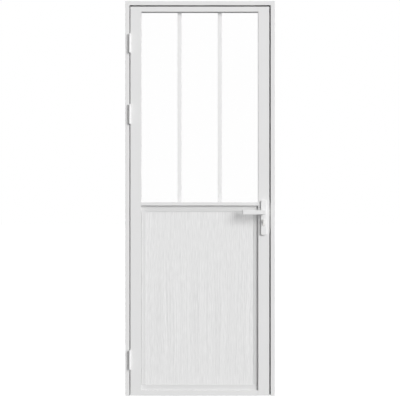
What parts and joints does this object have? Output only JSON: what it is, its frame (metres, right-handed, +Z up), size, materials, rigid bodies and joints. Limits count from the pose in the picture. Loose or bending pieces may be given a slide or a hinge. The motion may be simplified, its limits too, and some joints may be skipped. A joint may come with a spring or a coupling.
{
  "type": "glazed door set",
  "caption": "White single door in its frame, clear glass with two upright bars above a grained panel, barrel hinges at the left and a lever lock at the right.",
  "frame": {"origin": "on the floor, under the middle of the frame's width, at mid-depth of the leaf", "axes": "+X to the lock side, +Y away from the side that the door opens to, +Z up"},
  "size_m": [0.8, 0.17, 2.112],
  "materials": {
    "frame_coat": "matt white powder coat",
    "leaf_coat": "matt white powder coat",
    "hinge_coat": "satin white powder coat",
    "handle_coat": "satin white powder coat",
    "panel_white": "white with a fine vertical wood grain",
    "trim_white": "matt white powder coat",
    "bar_white": "matt white",
    "clear_glass": "clear",
    "gasket_grey": "matt grey rubber",
    "block_plastic": "matt plastic",
    "cap_white": "matt white plastic",
    "washer_white": "matt white plastic",
    "brush_grey": "brush pile",
    "bare_aluminium": "mill finish",
    "bright_steel": "brushed",
    "cylinder_metal": "nickel-plated, satin"
  },
  "bodies": {
    "frame": {"jamb_hinge_side": "frame_coat", "jamb_lock_side": "frame_coat", "head": "frame_coat", "corner_cleats": "bare_aluminium", "stop_gasket": "gasket_grey", "fixing_caps": "cap_white", "strike_plate": "bright_steel", "strike_screws": "bright_steel", "hinge_frame_half_top": "hinge_coat", "hinge_frame_half_mid": "hinge_coat", "hinge_frame_half_bottom": "hinge_coat", "hinge_pins": "bright_steel", "hinge_frame_screws": "bright_steel"},
    "leaf": {"hinge_stile": "leaf_coat", "lock_stile": "leaf_coat", "top_rail": "leaf_coat", "mid_rail": "leaf_coat", "bottom_rail": "leaf_coat", "rail_end_blocks": "bare_aluminium", "rail_screws": "bright_steel", "glass_front": "clear_glass", "glass_back": "clear_glass", "glass_spacer": "bare_aluminium", "glazing_bar_left": "bar_white", "glazing_bar_right": "bar_white", "glazing_gaskets": "gasket_grey", "setting_blocks": "block_plastic", "lower_panel": "panel_white", "panel_gaskets": "gasket_grey", "trim_front_top": "trim_white", "trim_front_bottom": "trim_white", "trim_front_left": "trim_white", "trim_front_right": "trim_white", "back_trims": "trim_white", "brush_sweep": "brush_grey", "hinge_leaf_half_top": "hinge_coat", "hinge_leaf_half_mid": "hinge_coat", "hinge_leaf_half_bottom": "hinge_coat", "hinge_leaf_screws": "bright_steel", "hinge_washers": "washer_white", "lock_case": "bright_steel", "lock_case_cover": "bright_steel", "faceplate": "bright_steel", "faceplate_screws": "bright_steel", "cylinder_screw": "bright_steel", "handle_plate_front": "handle_coat", "handle_plate_back": "handle_coat", "plate_bolts": "bright_steel", "cylinder_body": "cylinder_metal"},
    "lever_set": {"lever_front": "handle_coat", "lever_back": "handle_coat", "lever_grub_screws": "bright_steel", "spindle": "bright_steel", "follower": "bright_steel"},
    "latch": {"latch_bolt": "bright_steel"},
    "dead_bolt": {"deadbolt": "bright_steel"},
    "thumb_turn": {"thumb_turn": "handle_coat", "cylinder_cam": "cylinder_metal"},
    "key_plug": {"key_plug": "cylinder_metal"}
  },
  "joints": [
    {"name": "leaf_swing", "type": "hinge", "parent": "frame", "child": "leaf", "pos_m": [-0.3754, -0.033, 1], "axis": [0, 0, -1], "range_deg": [0, 170]},
    {"name": "lever_turn", "type": "hinge", "parent": "leaf", "child": "lever_set", "pos_m": [0.3401, 0, 0.983], "axis": [0, -1, 0], "range_deg": [0, 40], "stiffness_Nm_per_rad": 1.5, "springref_deg": -20.05},
    {"name": "latch_slide", "type": "slide", "parent": "leaf", "child": "latch", "axis": [-1, 0, 0], "range_m": [0, 0.0086]},
    {"name": "thumb_turn_spin", "type": "hinge", "parent": "leaf", "child": "thumb_turn", "pos_m": [0.3401, 0, 0.935], "axis": [0, -1, 0], "range_deg": [0, 360]},
    {"name": "deadbolt_slide", "type": "slide", "parent": "leaf", "child": "dead_bolt", "axis": [1, 0, 0], "range_m": [0, 0.01405]},
    {"name": "key_plug_spin", "type": "hinge", "parent": "leaf", "child": "key_plug", "pos_m": [0.3401, 0, 0.935], "axis": [0, -1, 0], "range_deg": [0, 360]}
  ],
  "couplings": [
    {"joint": "latch_slide", "follows": "lever_turn", "m_per_rad": 0.012175},
    {"joint": "deadbolt_slide", "follows": "thumb_turn_spin", "m_per_rad": 0.002228}
  ]
}
